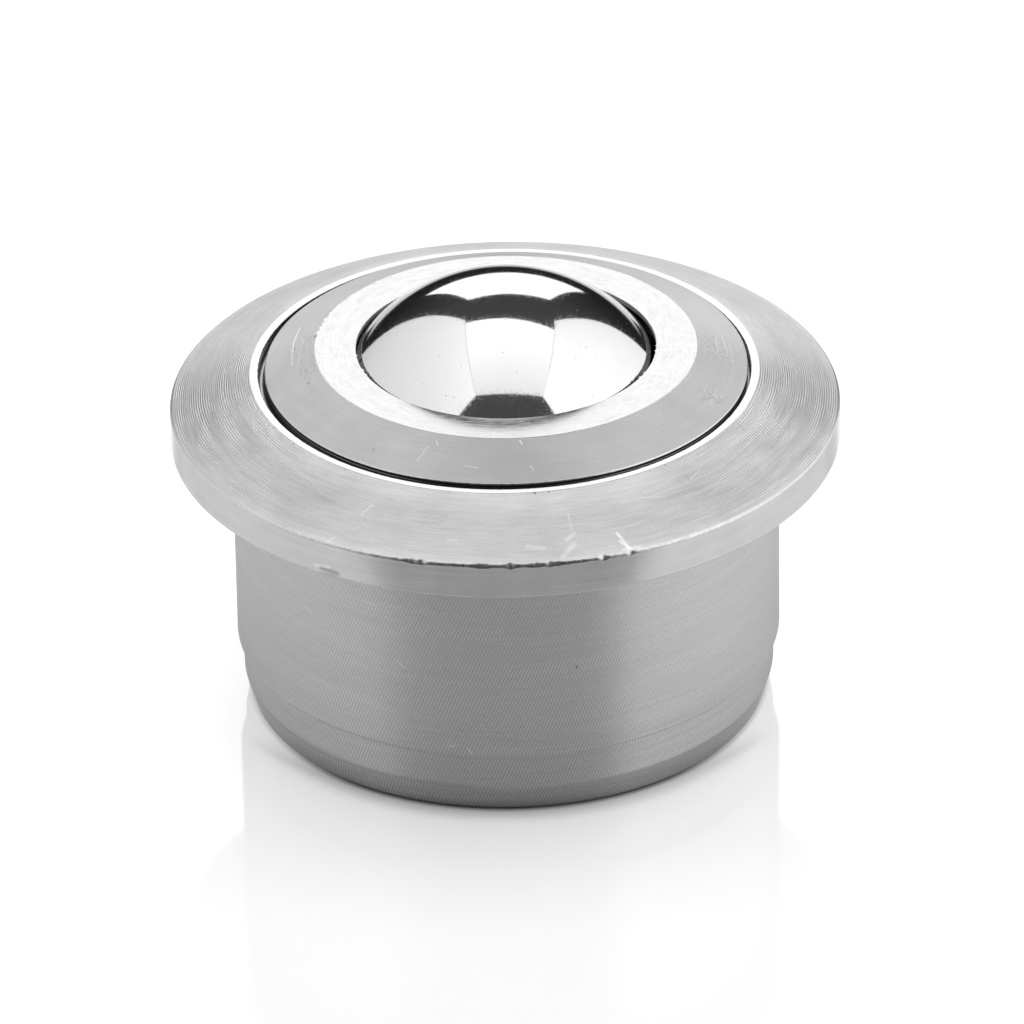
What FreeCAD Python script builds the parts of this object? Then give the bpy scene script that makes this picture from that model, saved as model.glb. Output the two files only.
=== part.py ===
import FreeCAD, Part
import math
import os
import re
import Sketcher

# Ball transfer unit for a conveyor table: a turned and flanged housing in which one large
# load ball rolls on a bed of small support balls, held in by a retaining cap.
# Millimetres, +Z up. The origin is the centre of the flat base, and every turned piece
# shares the vertical axis through it, apart from the cap, which sits in its own play.

SIZES = {
    # The rolling parts.
    "load_ball_diameter": 30.0,
    "support_ball_diameter": 3.97,
    "ball_clearance": 0.05,
    "ball_spacing_gap": 0.06,
    "support_ball_rows": 7,
    # The hardened cup that the support balls roll in.
    "cup_wall": 1.0,
    "cup_clearance": 0.1,
    "cap_over_balls": 0.3,
    "cup_rim_chamfer": 0.4,
    # The housing below its flange.
    "floor_thickness": 1.83,
    "body_wall": 2.33,
    "land_depth": 0.5,
    "land_top": 5.4,
    "step_height": 0.25,
    "base_taper": 0.7,
    "base_taper_height": 2.4,
    "base_edge_fillet": 0.3,
    # The flange and the mouth of the housing.
    "flange_overhang": 5.0,
    "rim_thickness": 3.0,
    "rim_upper_chamfer": 0.25,
    "rim_lower_chamfer": 0.4,
    "flange_cone_height": 2.85,
    "mouth_above_cup": 3.25,
    "mouth_land": 0.67,
    # The retaining cap.
    "cap_seat_clearance": 0.02,
    "cap_body_clearance": 0.27,
    "cap_skirt_clearance": 0.37,
    "cap_side_shift": 0.15,
    "cap_skirt_rise": 0.25,
    "cap_height": 5.33,
    "cap_flat_width": 3.33,
    "cap_lip_thickness": 0.29,
    "cap_ball_clearance": 0.25,
    "cap_foot_bevel": 0.5,
    # The wire ring that locks the cap in the housing.
    "wire_diameter": 1.0,
    "wire_height_below_mouth": 1.15,
    "wire_inset": 0.22,
    "wire_groove_clearance": 0.1,
    "wire_gap_angle": 16.0,
    # The felt seal that wipes the load ball.
    "seal_thickness": 1.8,
    "seal_height_below_cap": 2.2,
    "seal_width": 2.6,
    "seal_ball_clearance": 0.1,
    "seal_groove_clearance": 0.2,
}

# Lengths that follow from the sizes above, each written once.
FORMULAS = {
    "load_radius": "load_ball_diameter / 2",
    "support_radius": "support_ball_diameter / 2",
    "bed_radius": "load_radius + ball_clearance + support_radius",
    "ball_spacing": "support_ball_diameter + ball_spacing_gap",
    "row_angle": "asin(ball_spacing / bed_radius)",
    "top_row_rise": "-bed_radius * cos(support_ball_rows * row_angle)",
    "race_radius": "bed_radius + support_radius + ball_clearance",
    "cup_radius": "race_radius + cup_wall",
    "bore_radius": "cup_radius + cup_clearance",
    "ball_height": "bore_radius + floor_thickness",
    "cup_rim_rise": "top_row_rise + support_radius + cap_over_balls",
    "cup_top": "ball_height + cup_rim_rise",
    "body_radius": "bore_radius + body_wall",
    "land_radius": "body_radius - land_depth",
    "base_radius": "land_radius - base_taper",
    "body_bottom": "land_top + step_height",
    "flange_radius": "body_radius + flange_overhang",
    "mouth_height": "cup_top + mouth_above_cup",
    "mouth_radius": "bore_radius + mouth_land",
    "rim_top": "mouth_height - flange_cone_height",
    "rim_bottom": "rim_top - rim_thickness",
    "cap_bottom": "cup_top + cap_seat_clearance",
    "cap_body_radius": "bore_radius - cap_body_clearance",
    "cap_skirt_radius": "bore_radius - cap_skirt_clearance",
    "cap_skirt_top": "mouth_height + cap_skirt_rise",
    "cap_rise": "cup_rim_rise + cap_seat_clearance + cap_height",
    "cap_top": "ball_height + cap_rise",
    "relief_radius": "load_radius + cap_ball_clearance",
    "lip_rise": "cap_rise - cap_lip_thickness",
    "opening_radius": "sqrt(relief_radius ^ 2 - lip_rise ^ 2)",
    "cap_flat_radius": "opening_radius + cap_flat_width",
    "cap_foot_rise": "cup_rim_rise + cap_seat_clearance",
    "cap_foot_radius": "sqrt(relief_radius ^ 2 - cap_foot_rise ^ 2)",
    "wire_radius": "wire_diameter / 2",
    "wire_height": "mouth_height - wire_height_below_mouth",
    "wire_ring_radius": "bore_radius - wire_inset",
    "wire_groove_half": "wire_radius + wire_groove_clearance",
    "wire_groove_bottom": "wire_height - wire_groove_half",
    "wire_groove_top": "wire_height + wire_groove_half",
    "wire_groove_outer": "wire_ring_radius + wire_groove_half",
    "wire_groove_inner": "wire_ring_radius - wire_groove_half - cap_side_shift",
    "seal_top_rise": "cap_rise - seal_height_below_cap",
    "seal_bottom_rise": "seal_top_rise - seal_thickness",
    "seal_face_radius": "load_radius + seal_ball_clearance",
    "seal_top_inner": "sqrt(seal_face_radius ^ 2 - seal_top_rise ^ 2)",
    "seal_bottom_inner": "sqrt(seal_face_radius ^ 2 - seal_bottom_rise ^ 2)",
    "seal_outer": "seal_bottom_inner + seal_width",
    "seal_top": "ball_height + seal_top_rise",
    "seal_bottom": "ball_height + seal_bottom_rise",
    "seal_groove_outer": "seal_outer + seal_groove_clearance",
    "seal_groove_bottom": "seal_bottom - seal_groove_clearance",
    "seal_groove_top": "seal_top + seal_groove_clearance",
}

FULL_TURN = 360.0
QUARTER_TURN = 90.0
EDGE_TOLERANCE = 1e-4
COUNT_TOLERANCE = 1e-6

doc = FreeCAD.newDocument("ball_transfer_unit")
sheet = doc.addObject("Spreadsheet::Sheet", "Sizes")
for row, (name, size) in enumerate(SIZES.items(), 1):
    sheet.set(f"A{row}", name)
    sheet.set(f"B{row}", str(size))
    sheet.setAlias(f"B{row}", name)
doc.recompute()


def formula(text):
    """The text with each named length written out in cells of the sheet."""

    def written_out(match):
        word = match.group(0)
        if word in FORMULAS:
            return "(" + formula(FORMULAS[word]) + ")"
        if word in SIZES:
            return "Sizes." + word
        return word

    return re.sub(r"[a-z_]+", written_out, text)


def length(text):
    """The value of a named length, in millimetres."""
    return float(sheet.evalExpression(formula(text)))


def origin_plane(body, role):
    """One of the body's own origin planes."""
    return next(plane for plane in body.Origin.OriginFeatures if plane.Role == role)


def new_body(label):
    """An empty body whose label names its piece."""
    body = doc.addObject("PartDesign::Body", label)
    body.Label = label
    return body


def section_sketch(body, name):
    """A sketch on the body's XZ plane: across is the radius, up is the height."""
    sketch = body.newObject("Sketcher::SketchObject", name)
    sketch.AttachmentSupport = [(origin_plane(body, "XZ_Plane"), "")]
    sketch.MapMode = "FlatFace"
    return sketch


def hold(sketch, kind, element, end, text, name):
    """Holds one end of a line at its distance from an axis, by formula."""
    axis = -2 if kind == "DistanceX" else -1
    if text == "0":
        sketch.addConstraint(Sketcher.Constraint("PointOnObject", element, end, axis))
        return
    constraint = Sketcher.Constraint(kind, -1, 1, element, end, length(text))
    index = sketch.addConstraint(constraint)
    sketch.renameConstraint(index, name)
    sketch.setExpression("Constraints." + name, formula(text))


def draw_outline(sketch, corners):
    """Draws a closed section through (radius, height) corners, given as formulas.

    A corner with "ball" as a third item starts an arc about the load ball's centre.
    """
    centre = FreeCAD.Vector(0, length("ball_height"), 0)
    places = [FreeCAD.Vector(length(c[0]), length(c[1]), 0) for c in corners]
    ends = []
    for index, corner in enumerate(corners):
        here = places[index]
        there = places[(index + 1) % len(places)]
        if "ball" not in corner:
            element = sketch.addGeometry(Part.LineSegment(here, there), False)
            ends.append((element, 1, 2))
            continue
        circle = Part.Circle(centre, FreeCAD.Vector(0, 0, 1), (here - centre).Length)
        first = math.atan2(here.y - centre.y, here.x)
        last = math.atan2(there.y - centre.y, there.x)
        upward = last > first
        arc = Part.ArcOfCircle(circle, min(first, last), max(first, last))
        element = sketch.addGeometry(arc, False)
        sketch.addConstraint(Sketcher.Constraint("PointOnObject", element, 3, -2))
        ends.append((element, 1, 2) if upward else (element, 2, 1))
    for index, corner in enumerate(corners):
        element, start, finish = ends[index]
        before = ends[index - 1]
        joined = Sketcher.Constraint("Coincident", before[0], before[2], element, start)
        sketch.addConstraint(joined)
        hold(sketch, "DistanceX", element, start, corner[0], f"radius_{index}")
        hold(sketch, "DistanceY", element, start, corner[1], f"height_{index}")


def turn(body, name, corners, kind="PartDesign::Revolution"):
    """Turns a section about the vertical axis, as new metal or as a cut."""
    sketch = section_sketch(body, name + "_section")
    draw_outline(sketch, corners)
    feature = body.newObject(kind, name)
    feature.Profile = sketch
    feature.ReferenceAxis = (sketch, ["V_Axis"])
    feature.Angle = FULL_TURN
    body.Tip = feature
    doc.recompute()
    return feature


def turn_away(body, name, corners):
    """Cuts a turned groove and makes sure that it took metal off."""
    before = body.Shape.Volume
    turn(body, name, corners, "PartDesign::Groove")
    if body.Shape.Volume >= before:
        raise RuntimeError(name + " cut nothing")


def edges_at(shape, radius, height):
    """Names of the circular edges with this radius at this height."""
    return [
        f"Edge{number}"
        for number, edge in enumerate(shape.Edges, 1)
        if not edge.Degenerated
        and isinstance(edge.Curve, Part.Circle)
        and abs(edge.Curve.Radius - radius) < EDGE_TOLERANCE
        and abs(edge.Curve.Center.z - height) < EDGE_TOLERANCE
    ]


def make_housing():
    """The turned body: lead-in taper, stepped land, flange with a conical top, and bore."""
    body = new_body("housing")
    turn(body, "turned_blank", [
        ("0", "0"),
        ("base_radius", "0"),
        ("land_radius", "base_taper_height"),
        ("land_radius", "land_top"),
        ("body_radius", "body_bottom"),
        ("body_radius", "rim_bottom"),
        ("flange_radius - rim_lower_chamfer", "rim_bottom"),
        ("flange_radius", "rim_bottom + rim_lower_chamfer"),
        ("flange_radius", "rim_top - rim_upper_chamfer"),
        ("flange_radius - rim_upper_chamfer", "rim_top"),
        ("mouth_radius", "mouth_height"),
        ("0", "mouth_height"),
    ])
    turn_away(body, "bore", [
        ("0", "floor_thickness", "ball"),
        ("bore_radius", "ball_height"),
        ("bore_radius", "mouth_height"),
        ("0", "mouth_height"),
    ])
    turn_away(body, "wire_groove", [
        ("bore_radius", "wire_groove_bottom"),
        ("wire_groove_outer", "wire_groove_bottom"),
        ("wire_groove_outer", "wire_groove_top"),
        ("bore_radius", "wire_groove_top"),
    ])
    bored = body.Tip
    rounding = body.newObject("PartDesign::Fillet", "base_edge")
    rounding.Base = (bored, edges_at(bored.Shape, length("base_radius"), 0))
    rounding.setExpression("Radius", formula("base_edge_fillet"))
    body.Tip = rounding
    return body


def make_load_cup():
    """The drawn and hardened cup: a half sphere with a straight rim that carries the cap."""
    body = new_body("load_cup")
    turn(body, "cup", [
        ("0", "ball_height - cup_radius", "ball"),
        ("cup_radius", "ball_height"),
        ("cup_radius", "cup_top"),
        ("race_radius + cup_rim_chamfer", "cup_top"),
        ("race_radius", "cup_top - cup_rim_chamfer"),
        ("race_radius", "ball_height", "ball"),
        ("0", "ball_height - race_radius"),
    ])
    return body


def make_cap():
    """The retaining cap: flat face, cone, thin lip over the ball, seal and wire grooves."""
    body = new_body("retaining_cap")
    turn(body, "cap_blank", [
        ("cap_foot_radius", "cap_bottom"),
        ("cap_body_radius - cap_foot_bevel", "cap_bottom"),
        ("cap_body_radius", "cap_bottom + cap_foot_bevel"),
        ("cap_body_radius", "wire_height"),
        ("cap_skirt_radius", "wire_height"),
        ("cap_skirt_radius", "cap_skirt_top"),
        ("cap_flat_radius", "cap_top"),
        ("opening_radius", "cap_top"),
        ("opening_radius", "ball_height + lip_rise", "ball"),
    ])
    turn_away(body, "seal_groove", [
        ("opening_radius", "seal_groove_bottom"),
        ("seal_groove_outer", "seal_groove_bottom"),
        ("seal_groove_outer", "seal_groove_top"),
        ("opening_radius", "seal_groove_top"),
    ])
    turn_away(body, "wire_groove", [
        ("wire_groove_inner", "wire_groove_bottom"),
        ("bore_radius", "wire_groove_bottom"),
        ("bore_radius", "wire_groove_top"),
        ("wire_groove_inner", "wire_groove_top"),
    ])
    body.setExpression("Placement.Base.x", formula("cap_side_shift"))
    return body


def make_dust_seal():
    """The felt ring in the cap, its inner face hollowed to the ball."""
    body = new_body("dust_seal")
    turn(body, "felt", [
        ("seal_bottom_inner", "seal_bottom"),
        ("seal_outer", "seal_bottom"),
        ("seal_outer", "seal_top"),
        ("seal_top_inner", "seal_top", "ball"),
    ])
    return body


def make_snap_ring():
    """The split ring of round spring wire, with its gap at the back."""
    body = new_body("snap_ring")
    sketch = section_sketch(body, "wire_section")
    centre = FreeCAD.Vector(length("wire_ring_radius"), length("wire_height"), 0)
    wire = Part.Circle(centre, FreeCAD.Vector(0, 0, 1), length("wire_radius"))
    element = sketch.addGeometry(wire, False)
    hold(sketch, "DistanceX", element, 3, "wire_ring_radius", "ring_radius")
    hold(sketch, "DistanceY", element, 3, "wire_height", "ring_height")
    radius = sketch.addConstraint(Sketcher.Constraint("Radius", element, length("wire_radius")))
    sketch.setExpression(f"Constraints[{radius}]", formula("wire_radius"))
    ring = body.newObject("PartDesign::Revolution", "wire")
    ring.Profile = sketch
    ring.ReferenceAxis = (sketch, ["V_Axis"])
    ring.setExpression("Angle", f"{FULL_TURN} - " + formula("wire_gap_angle"))
    body.Tip = ring
    body.Placement.Rotation = FreeCAD.Rotation(FreeCAD.Vector(0, 0, 1), QUARTER_TURN)
    to_the_back = f"{QUARTER_TURN} + " + formula("wire_gap_angle / 2")
    body.setExpression("Placement.Rotation.Angle", to_the_back)
    return body


def make_ball(label, radius, height):
    """One whole ball on the vertical axis."""
    ball = doc.addObject("Part::Sphere", label)
    ball.Label = label
    ball.setExpression("Radius", formula(radius))
    ball.setExpression("Placement.Base.z", formula(height))
    return ball


def make_ball_row(number):
    """One ring of support balls, each row further up from the bottom of the cup."""
    body = new_body(f"support_balls_row_{number}")
    across = f"bed_radius * sin({number} * row_angle)"
    up = f"ball_height - bed_radius * cos({number} * row_angle)"
    most = math.pi / math.asin(length("ball_spacing") / (2 * length(across)))
    sketch = section_sketch(body, "half_ball_section")
    centre = FreeCAD.Vector(length(across), length(up), 0)
    radius = length("support_radius")
    top = centre + FreeCAD.Vector(0, radius, 0)
    bottom = centre - FreeCAD.Vector(0, radius, 0)
    circle = Part.Circle(centre, FreeCAD.Vector(0, 0, 1), radius)
    arc = sketch.addGeometry(Part.ArcOfCircle(circle, -math.pi / 2, math.pi / 2), False)
    diameter = sketch.addGeometry(Part.LineSegment(top, bottom), False)
    sketch.addConstraint(Sketcher.Constraint("Coincident", arc, 2, diameter, 1))
    sketch.addConstraint(Sketcher.Constraint("Coincident", arc, 1, diameter, 2))
    sketch.addConstraint(Sketcher.Constraint("PointOnObject", arc, 3, diameter))
    sketch.addConstraint(Sketcher.Constraint("Vertical", diameter))
    hold(sketch, "DistanceX", arc, 3, across, "ring_radius")
    hold(sketch, "DistanceY", arc, 3, up, "ring_height")
    size = sketch.addConstraint(Sketcher.Constraint("Radius", arc, radius))
    sketch.setExpression(f"Constraints[{size}]", formula("support_radius"))
    ball = body.newObject("PartDesign::Revolution", "ball")
    ball.Profile = sketch
    ball.ReferenceAxis = (sketch, [f"Edge{diameter + 1}"])
    ball.Angle = FULL_TURN
    body.Tip = ball
    doc.recompute()
    ring = body.newObject("PartDesign::PolarPattern", "ring_of_balls")
    ring.Originals = [ball]
    ring.Axis = (sketch, ["V_Axis"])
    ring.Angle = FULL_TURN
    ring.Occurrences = math.floor(most + COUNT_TOLERANCE)
    body.Tip = ring
    return body


def make_support_balls():
    """The ball bed: one ball at the bottom of the cup and the rings of balls above it."""
    pieces = [make_ball("support_ball_bottom", "support_radius", "ball_height - bed_radius")]
    for number in range(1, round(length("support_ball_rows")) + 1):
        pieces.append(make_ball_row(number))
    return pieces


pieces = [
    make_housing(),
    make_load_cup(),
    make_cap(),
    make_dust_seal(),
    make_snap_ring(),
    make_ball("load_ball", "load_radius", "ball_height"),
]
pieces += make_support_balls()
doc.recompute()

for item in doc.Objects:
    if "Invalid" in item.State or "Error" in item.State:
        raise RuntimeError(item.Label + " failed to build")
for piece in pieces:
    if piece.Shape.isNull() or not piece.Shape.isValid():
        raise RuntimeError(piece.Label + " has no valid shape")

os.makedirs("parts", exist_ok=True)
for piece in pieces:
    piece.Shape.exportStep(f"parts/{piece.Label}.step")
    box = piece.Shape.BoundBox
    print(
        f"{piece.Label}: {len(piece.Shape.Solids)} solids, {piece.Shape.Volume:.1f} mm3, "
        f"z {box.ZMin:.2f} to {box.ZMax:.2f}, radius {box.XMax:.2f}"
    )
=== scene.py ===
# %% [markdown]
# # A ball transfer unit
#
# The real object is a turned steel housing with one large polished ball in it. This file dresses
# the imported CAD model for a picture: it models the visible pieces again with soft and worn edges,
# gives each metal its own finish, and stands the unit in a small light tent.
#
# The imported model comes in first, because every piece is placed by it.

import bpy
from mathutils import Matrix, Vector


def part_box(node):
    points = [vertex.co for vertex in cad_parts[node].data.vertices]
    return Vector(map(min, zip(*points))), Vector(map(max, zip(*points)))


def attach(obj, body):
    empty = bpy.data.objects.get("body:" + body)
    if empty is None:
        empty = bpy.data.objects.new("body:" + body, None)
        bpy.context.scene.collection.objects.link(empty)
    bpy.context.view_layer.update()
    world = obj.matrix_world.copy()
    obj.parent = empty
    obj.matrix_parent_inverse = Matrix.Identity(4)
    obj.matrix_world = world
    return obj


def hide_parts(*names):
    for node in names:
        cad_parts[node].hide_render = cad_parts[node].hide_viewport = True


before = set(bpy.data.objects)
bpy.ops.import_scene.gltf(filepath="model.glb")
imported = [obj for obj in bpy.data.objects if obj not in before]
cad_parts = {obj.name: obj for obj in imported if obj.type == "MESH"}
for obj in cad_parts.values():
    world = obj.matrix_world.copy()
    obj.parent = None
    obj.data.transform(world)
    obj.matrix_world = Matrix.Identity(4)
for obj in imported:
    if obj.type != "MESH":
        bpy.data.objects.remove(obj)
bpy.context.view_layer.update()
print("CAD nodes:", sorted(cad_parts))

# %% Tools for the lesson
import math

import bmesh
import bpy
from mathutils import Matrix, Vector, noise

MM = 0.001
TURN = 2 * math.pi
scene = bpy.context.scene
print("one millimetre is", MM, "Blender units")

# %% [markdown]
# ## The camera
#
# The camera stands 775 mm away and looks down at about thirty degrees. A long lens keeps the
# rings' ellipses as flat as they are in the picture, and a turn of under one degree about the line
# of sight puts the right side a little higher.

# %% The camera
CAMERA_ELEVATION = math.radians(29.588)
CAMERA_ROLL = math.radians(-0.9048)
CAMERA_DISTANCE = 775 * MM
CAMERA_TARGET = Vector((0.432, 0, 15.695)) * MM
SENSOR_WIDTH, LENS_LENGTH = 36, 329.95

camera_data = bpy.data.cameras.new("portrait_camera")
camera_data.sensor_width = SENSOR_WIDTH
camera_data.lens = LENS_LENGTH
camera_data.clip_start = 0.01
camera_data.clip_end = 20
camera = bpy.data.objects.new("portrait_camera", camera_data)
scene.collection.objects.link(camera)
to_camera = Vector((0, -math.cos(CAMERA_ELEVATION), math.sin(CAMERA_ELEVATION)))
level = (-to_camera).to_track_quat("-Z", "Y").to_matrix()
turned = level @ Matrix.Rotation(CAMERA_ROLL, 3, "Z")
camera.matrix_world = Matrix.LocRotScale(
    CAMERA_TARGET + to_camera * CAMERA_DISTANCE, turned.to_quaternion(), None
)
scene.camera = camera
print("camera at", [round(x, 4) for x in camera.matrix_world.translation])

# %% [markdown]
# ## Short ways to build a finish
#
# Every metal here is a Principled shader fed by textures that follow the lathe: round the axis,
# across it and up it. A small class keeps the node wiring short, so that each finish below reads
# as a list of marks on the metal. Object coordinates are turned into millimetres first, because
# turning marks are easiest to judge in those.


# %% A finish and its nodes
class Finish:
    """A material being made, with short ways to add nodes and to join them."""

    def __init__(self, name):
        self.material = bpy.data.materials.new(name)
        self.material.use_nodes = True
        self.tree = self.material.node_tree
        self.shader = self.tree.nodes["Principled BSDF"]

    def feed(self, socket, value):
        """Joins a socket to another one, or sets its own value."""
        if isinstance(value, bpy.types.NodeSocket):
            self.tree.links.new(value, socket)
        else:
            socket.default_value = value

    def add(self, kind, *values, **settings):
        """Adds a node, sets it up and feeds its first sockets in order."""
        made = self.tree.nodes.new(kind)
        for name, setting in settings.items():
            setattr(made, name, setting)
        for socket, value in zip(made.inputs, values):
            self.feed(socket, value)
        return made

    def math(self, operation, *values, clamp=False):
        """One step of arithmetic."""
        made = self.add("ShaderNodeMath", *values, operation=operation, use_clamp=clamp)
        return made.outputs[0]

    def total(self, *values):
        """The sum of several values."""
        result = values[0]
        for value in values[1:]:
            result = self.math("ADD", result, value)
        return result

    def product(self, *values):
        """Several values multiplied."""
        result = values[0]
        for value in values[1:]:
            result = self.math("MULTIPLY", result, value)
        return result

    def scaled(self, value, factor, middle=0.0):
        """How far a value is from its middle, times a factor."""
        return self.math("MULTIPLY", self.math("SUBTRACT", value, middle), factor)

    def swing(self, value, factor):
        """How far noise is from its average of a half, times a factor."""
        return self.scaled(value, factor, 0.5)

    def noise(self, vector, detail):
        """Soft noise, about 0.5 on average, one blot to a unit."""
        made = self.add("ShaderNodeTexNoise")
        self.feed(made.inputs["Vector"], vector)
        made.inputs["Scale"].default_value = 1.0
        made.inputs["Detail"].default_value = detail
        return made.outputs["Fac"]

    def ramp(self, value, low, high):
        """Rises smoothly from 0 at the low value to 1 at the high one."""
        made = self.add("ShaderNodeMapRange", interpolation_type="SMOOTHSTEP")
        for name, given in (("Value", value), ("From Min", low), ("From Max", high)):
            self.feed(made.inputs[name], given)
        return made.outputs["Result"]

    def lifted(self, share):
        """The surface's facing, tilted towards straight up by this share."""
        slope = self.add("ShaderNodeNewGeometry").outputs["Normal"]
        rise = self.add("ShaderNodeVectorMath", (0, 0, 1), slope, operation="SUBTRACT")
        lift = self.add("ShaderNodeVectorMath", rise.outputs[0], operation="SCALE")
        self.feed(lift.inputs["Scale"], share)
        tilted = self.add("ShaderNodeVectorMath", slope, lift.outputs[0], operation="ADD")
        level = self.add("ShaderNodeVectorMath", tilted.outputs[0], operation="NORMALIZE")
        return level.outputs[0]


print("a finish is a Principled shader with lathe coordinates")

# %% [markdown]
# ## Lathe coordinates
#
# A turned surface is described best by its angle, radius and height. The angle is 0 at the front
# and its seam is at the back. Noise for marks that run round the axis is read at a point that
# moves fast across the marks and slowly round the unit circle, so it has no seam at all.


# %% Where a point is on the lathe
class Lathe:
    """The point being shaded, in millimetres, seen as the lathe sees it."""

    def __init__(self, finish, centre=(0.0, 0.0, 0.0)):
        self.finish = finish
        place = finish.add("ShaderNodeTexCoord").outputs["Object"]
        mapping = finish.add("ShaderNodeMapping", place)
        mapping.inputs["Scale"].default_value = (1 / MM, 1 / MM, 1 / MM)
        mapping.inputs["Location"].default_value = [-part for part in centre]
        self.point = mapping.outputs[0]
        split = finish.add("ShaderNodeSeparateXYZ", self.point).outputs
        self.height = split["Z"]
        flat = finish.add("ShaderNodeCombineXYZ", split["X"], split["Y"], 0.0).outputs[0]
        length = finish.add("ShaderNodeVectorMath", flat, operation="LENGTH")
        self.radius = length.outputs["Value"]
        unit = finish.add("ShaderNodeVectorMath", flat, operation="NORMALIZE").outputs[0]
        self.unit = finish.add("ShaderNodeSeparateXYZ", unit).outputs
        back = finish.product(split["Y"], -1.0)
        self.angle = finish.math("ARCTAN2", split["X"], back)

    def rings(self, across, fineness, slowness, detail=2.0):
        """Noise drawn out round the axis: so many lines a millimetre, so slow to change."""
        place = self.finish.add(
            "ShaderNodeCombineXYZ",
            self.finish.product(across, fineness),
            self.finish.product(self.unit["X"], slowness),
            self.finish.product(self.unit["Y"], slowness),
        )
        return self.finish.noise(place.outputs[0], detail)

    def blots(self, size, detail=2.0):
        """Even noise with blots of about this size in millimetres."""
        scaled = self.finish.add("ShaderNodeVectorMath", self.point, operation="SCALE")
        scaled.inputs["Scale"].default_value = 1 / size
        return self.finish.noise(scaled.outputs[0], detail)

    def patches(self, places):
        """Soft patches round (centre, reach) places, 1 in the middle of each."""
        drawn = []
        for centre, reach in places:
            gap = self.finish.add(
                "ShaderNodeVectorMath", self.point, centre, operation="DISTANCE"
            ).outputs["Value"]
            drawn.append(self.finish.ramp(gap, reach, 0.3 * reach))
        return self.finish.total(*drawn)

    def line(self, start, end, width):
        """A mark that is 1 along a line from start to end and fades out over its width."""
        along = Vector(end) - Vector(start)
        finish = self.finish
        away = finish.add("ShaderNodeVectorMath", self.point, start, operation="SUBTRACT")
        share = finish.add(
            "ShaderNodeVectorMath", away.outputs[0], along / along.length_squared,
            operation="DOT_PRODUCT",
        ).outputs["Value"]
        reach = finish.math("ADD", share, 0.0, clamp=True)
        foot = finish.add("ShaderNodeVectorMath", along, operation="SCALE")
        finish.feed(foot.inputs["Scale"], reach)
        gap = finish.add(
            "ShaderNodeVectorMath", away.outputs[0], foot.outputs[0], operation="DISTANCE"
        ).outputs["Value"]
        return finish.math("SUBTRACT", 1.0, finish.math("DIVIDE", gap, width), clamp=True)

    def lines(self, marks):
        """Several such marks in one, each with its own strength."""
        drawn = [
            self.finish.product(self.line(start, end, width), strength)
            for start, end, width, strength in marks
        ]
        return self.finish.total(*drawn)


print("angle 0 is the front of the unit")

# %% [markdown]
# ## Steel as a shader
#
# Steel is a full metal, so its base colour is its reflection. The grooves of turning run round the
# axis and smear each reflection across themselves. That is anisotropy: its tangent goes round the
# Z axis, and a quarter turn of it makes the smear run up the wall instead of along the groove.

# %% Steel
QUARTER_TURN = 0.25
RELIEF_UNIT = 0.001 * MM


def finish_steel(
    finish, tint, brightness, roughness, relief, smear=0.0, facing=None, glancing=1.0
):
    """Feeds the shader: tinted brightness, roughness, and relief in thousandths of a mm.

    Smear draws reflections out across the grooves, facing replaces the surface's own facing, and
    glancing below 1 keeps the metal from going white where it is seen edge on.
    """
    shader = finish.shader
    if not shader.inputs["Metallic"].is_linked:
        shader.inputs["Metallic"].default_value = 1.0
    shader.inputs["Specular Tint"].default_value = (glancing, glancing, glancing, 1.0)
    shader.inputs["Anisotropic"].default_value = smear
    if smear:
        shader.inputs["Anisotropic Rotation"].default_value = QUARTER_TURN
        tangent = finish.add("ShaderNodeTangent", direction_type="RADIAL", axis="Z")
        finish.feed(shader.inputs["Tangent"], tangent.outputs[0])
    colour = finish.add("ShaderNodeVectorMath", tint, operation="SCALE")
    finish.feed(colour.inputs["Scale"], brightness)
    finish.feed(shader.inputs["Base Color"], colour.outputs[0])
    finish.feed(shader.inputs["Roughness"], roughness)
    bump = finish.add("ShaderNodeBump")
    bump.inputs["Strength"].default_value = 1.0
    bump.inputs["Distance"].default_value = RELIEF_UNIT
    finish.feed(bump.inputs["Height"], relief)
    if facing:
        finish.feed(bump.inputs["Normal"], facing)
    finish.feed(shader.inputs["Normal"], bump.outputs[0])
    return finish.material


NEUTRAL = (1.0, 1.0, 0.996)
print("steel tint", NEUTRAL)

# %% [markdown]
# ## The turned wall of the body
#
# A tool that trembles while it cuts leaves chatter: about five hundred fine ridges round the wall,
# each leaning to the right on its way up. They are a sine of the angle and the height, broken into
# short dashes by the tool's feed and clearest in front. Faint feed bands run level round the wall,
# and a few scratches cross it all. The wall's colour is painted darker towards the foot and lighter
# towards the top, a painted shade, and the taper of the foot is painted darker still.

# %% The body's finish
CHATTER_RIDGES = 500
CHATTER_LEAN = 1.45 * TURN
FOOT_TOP, TICK_HEIGHT = 2.4, 2.45
WALL_SHADE_MIDDLE = 12.0


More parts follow.
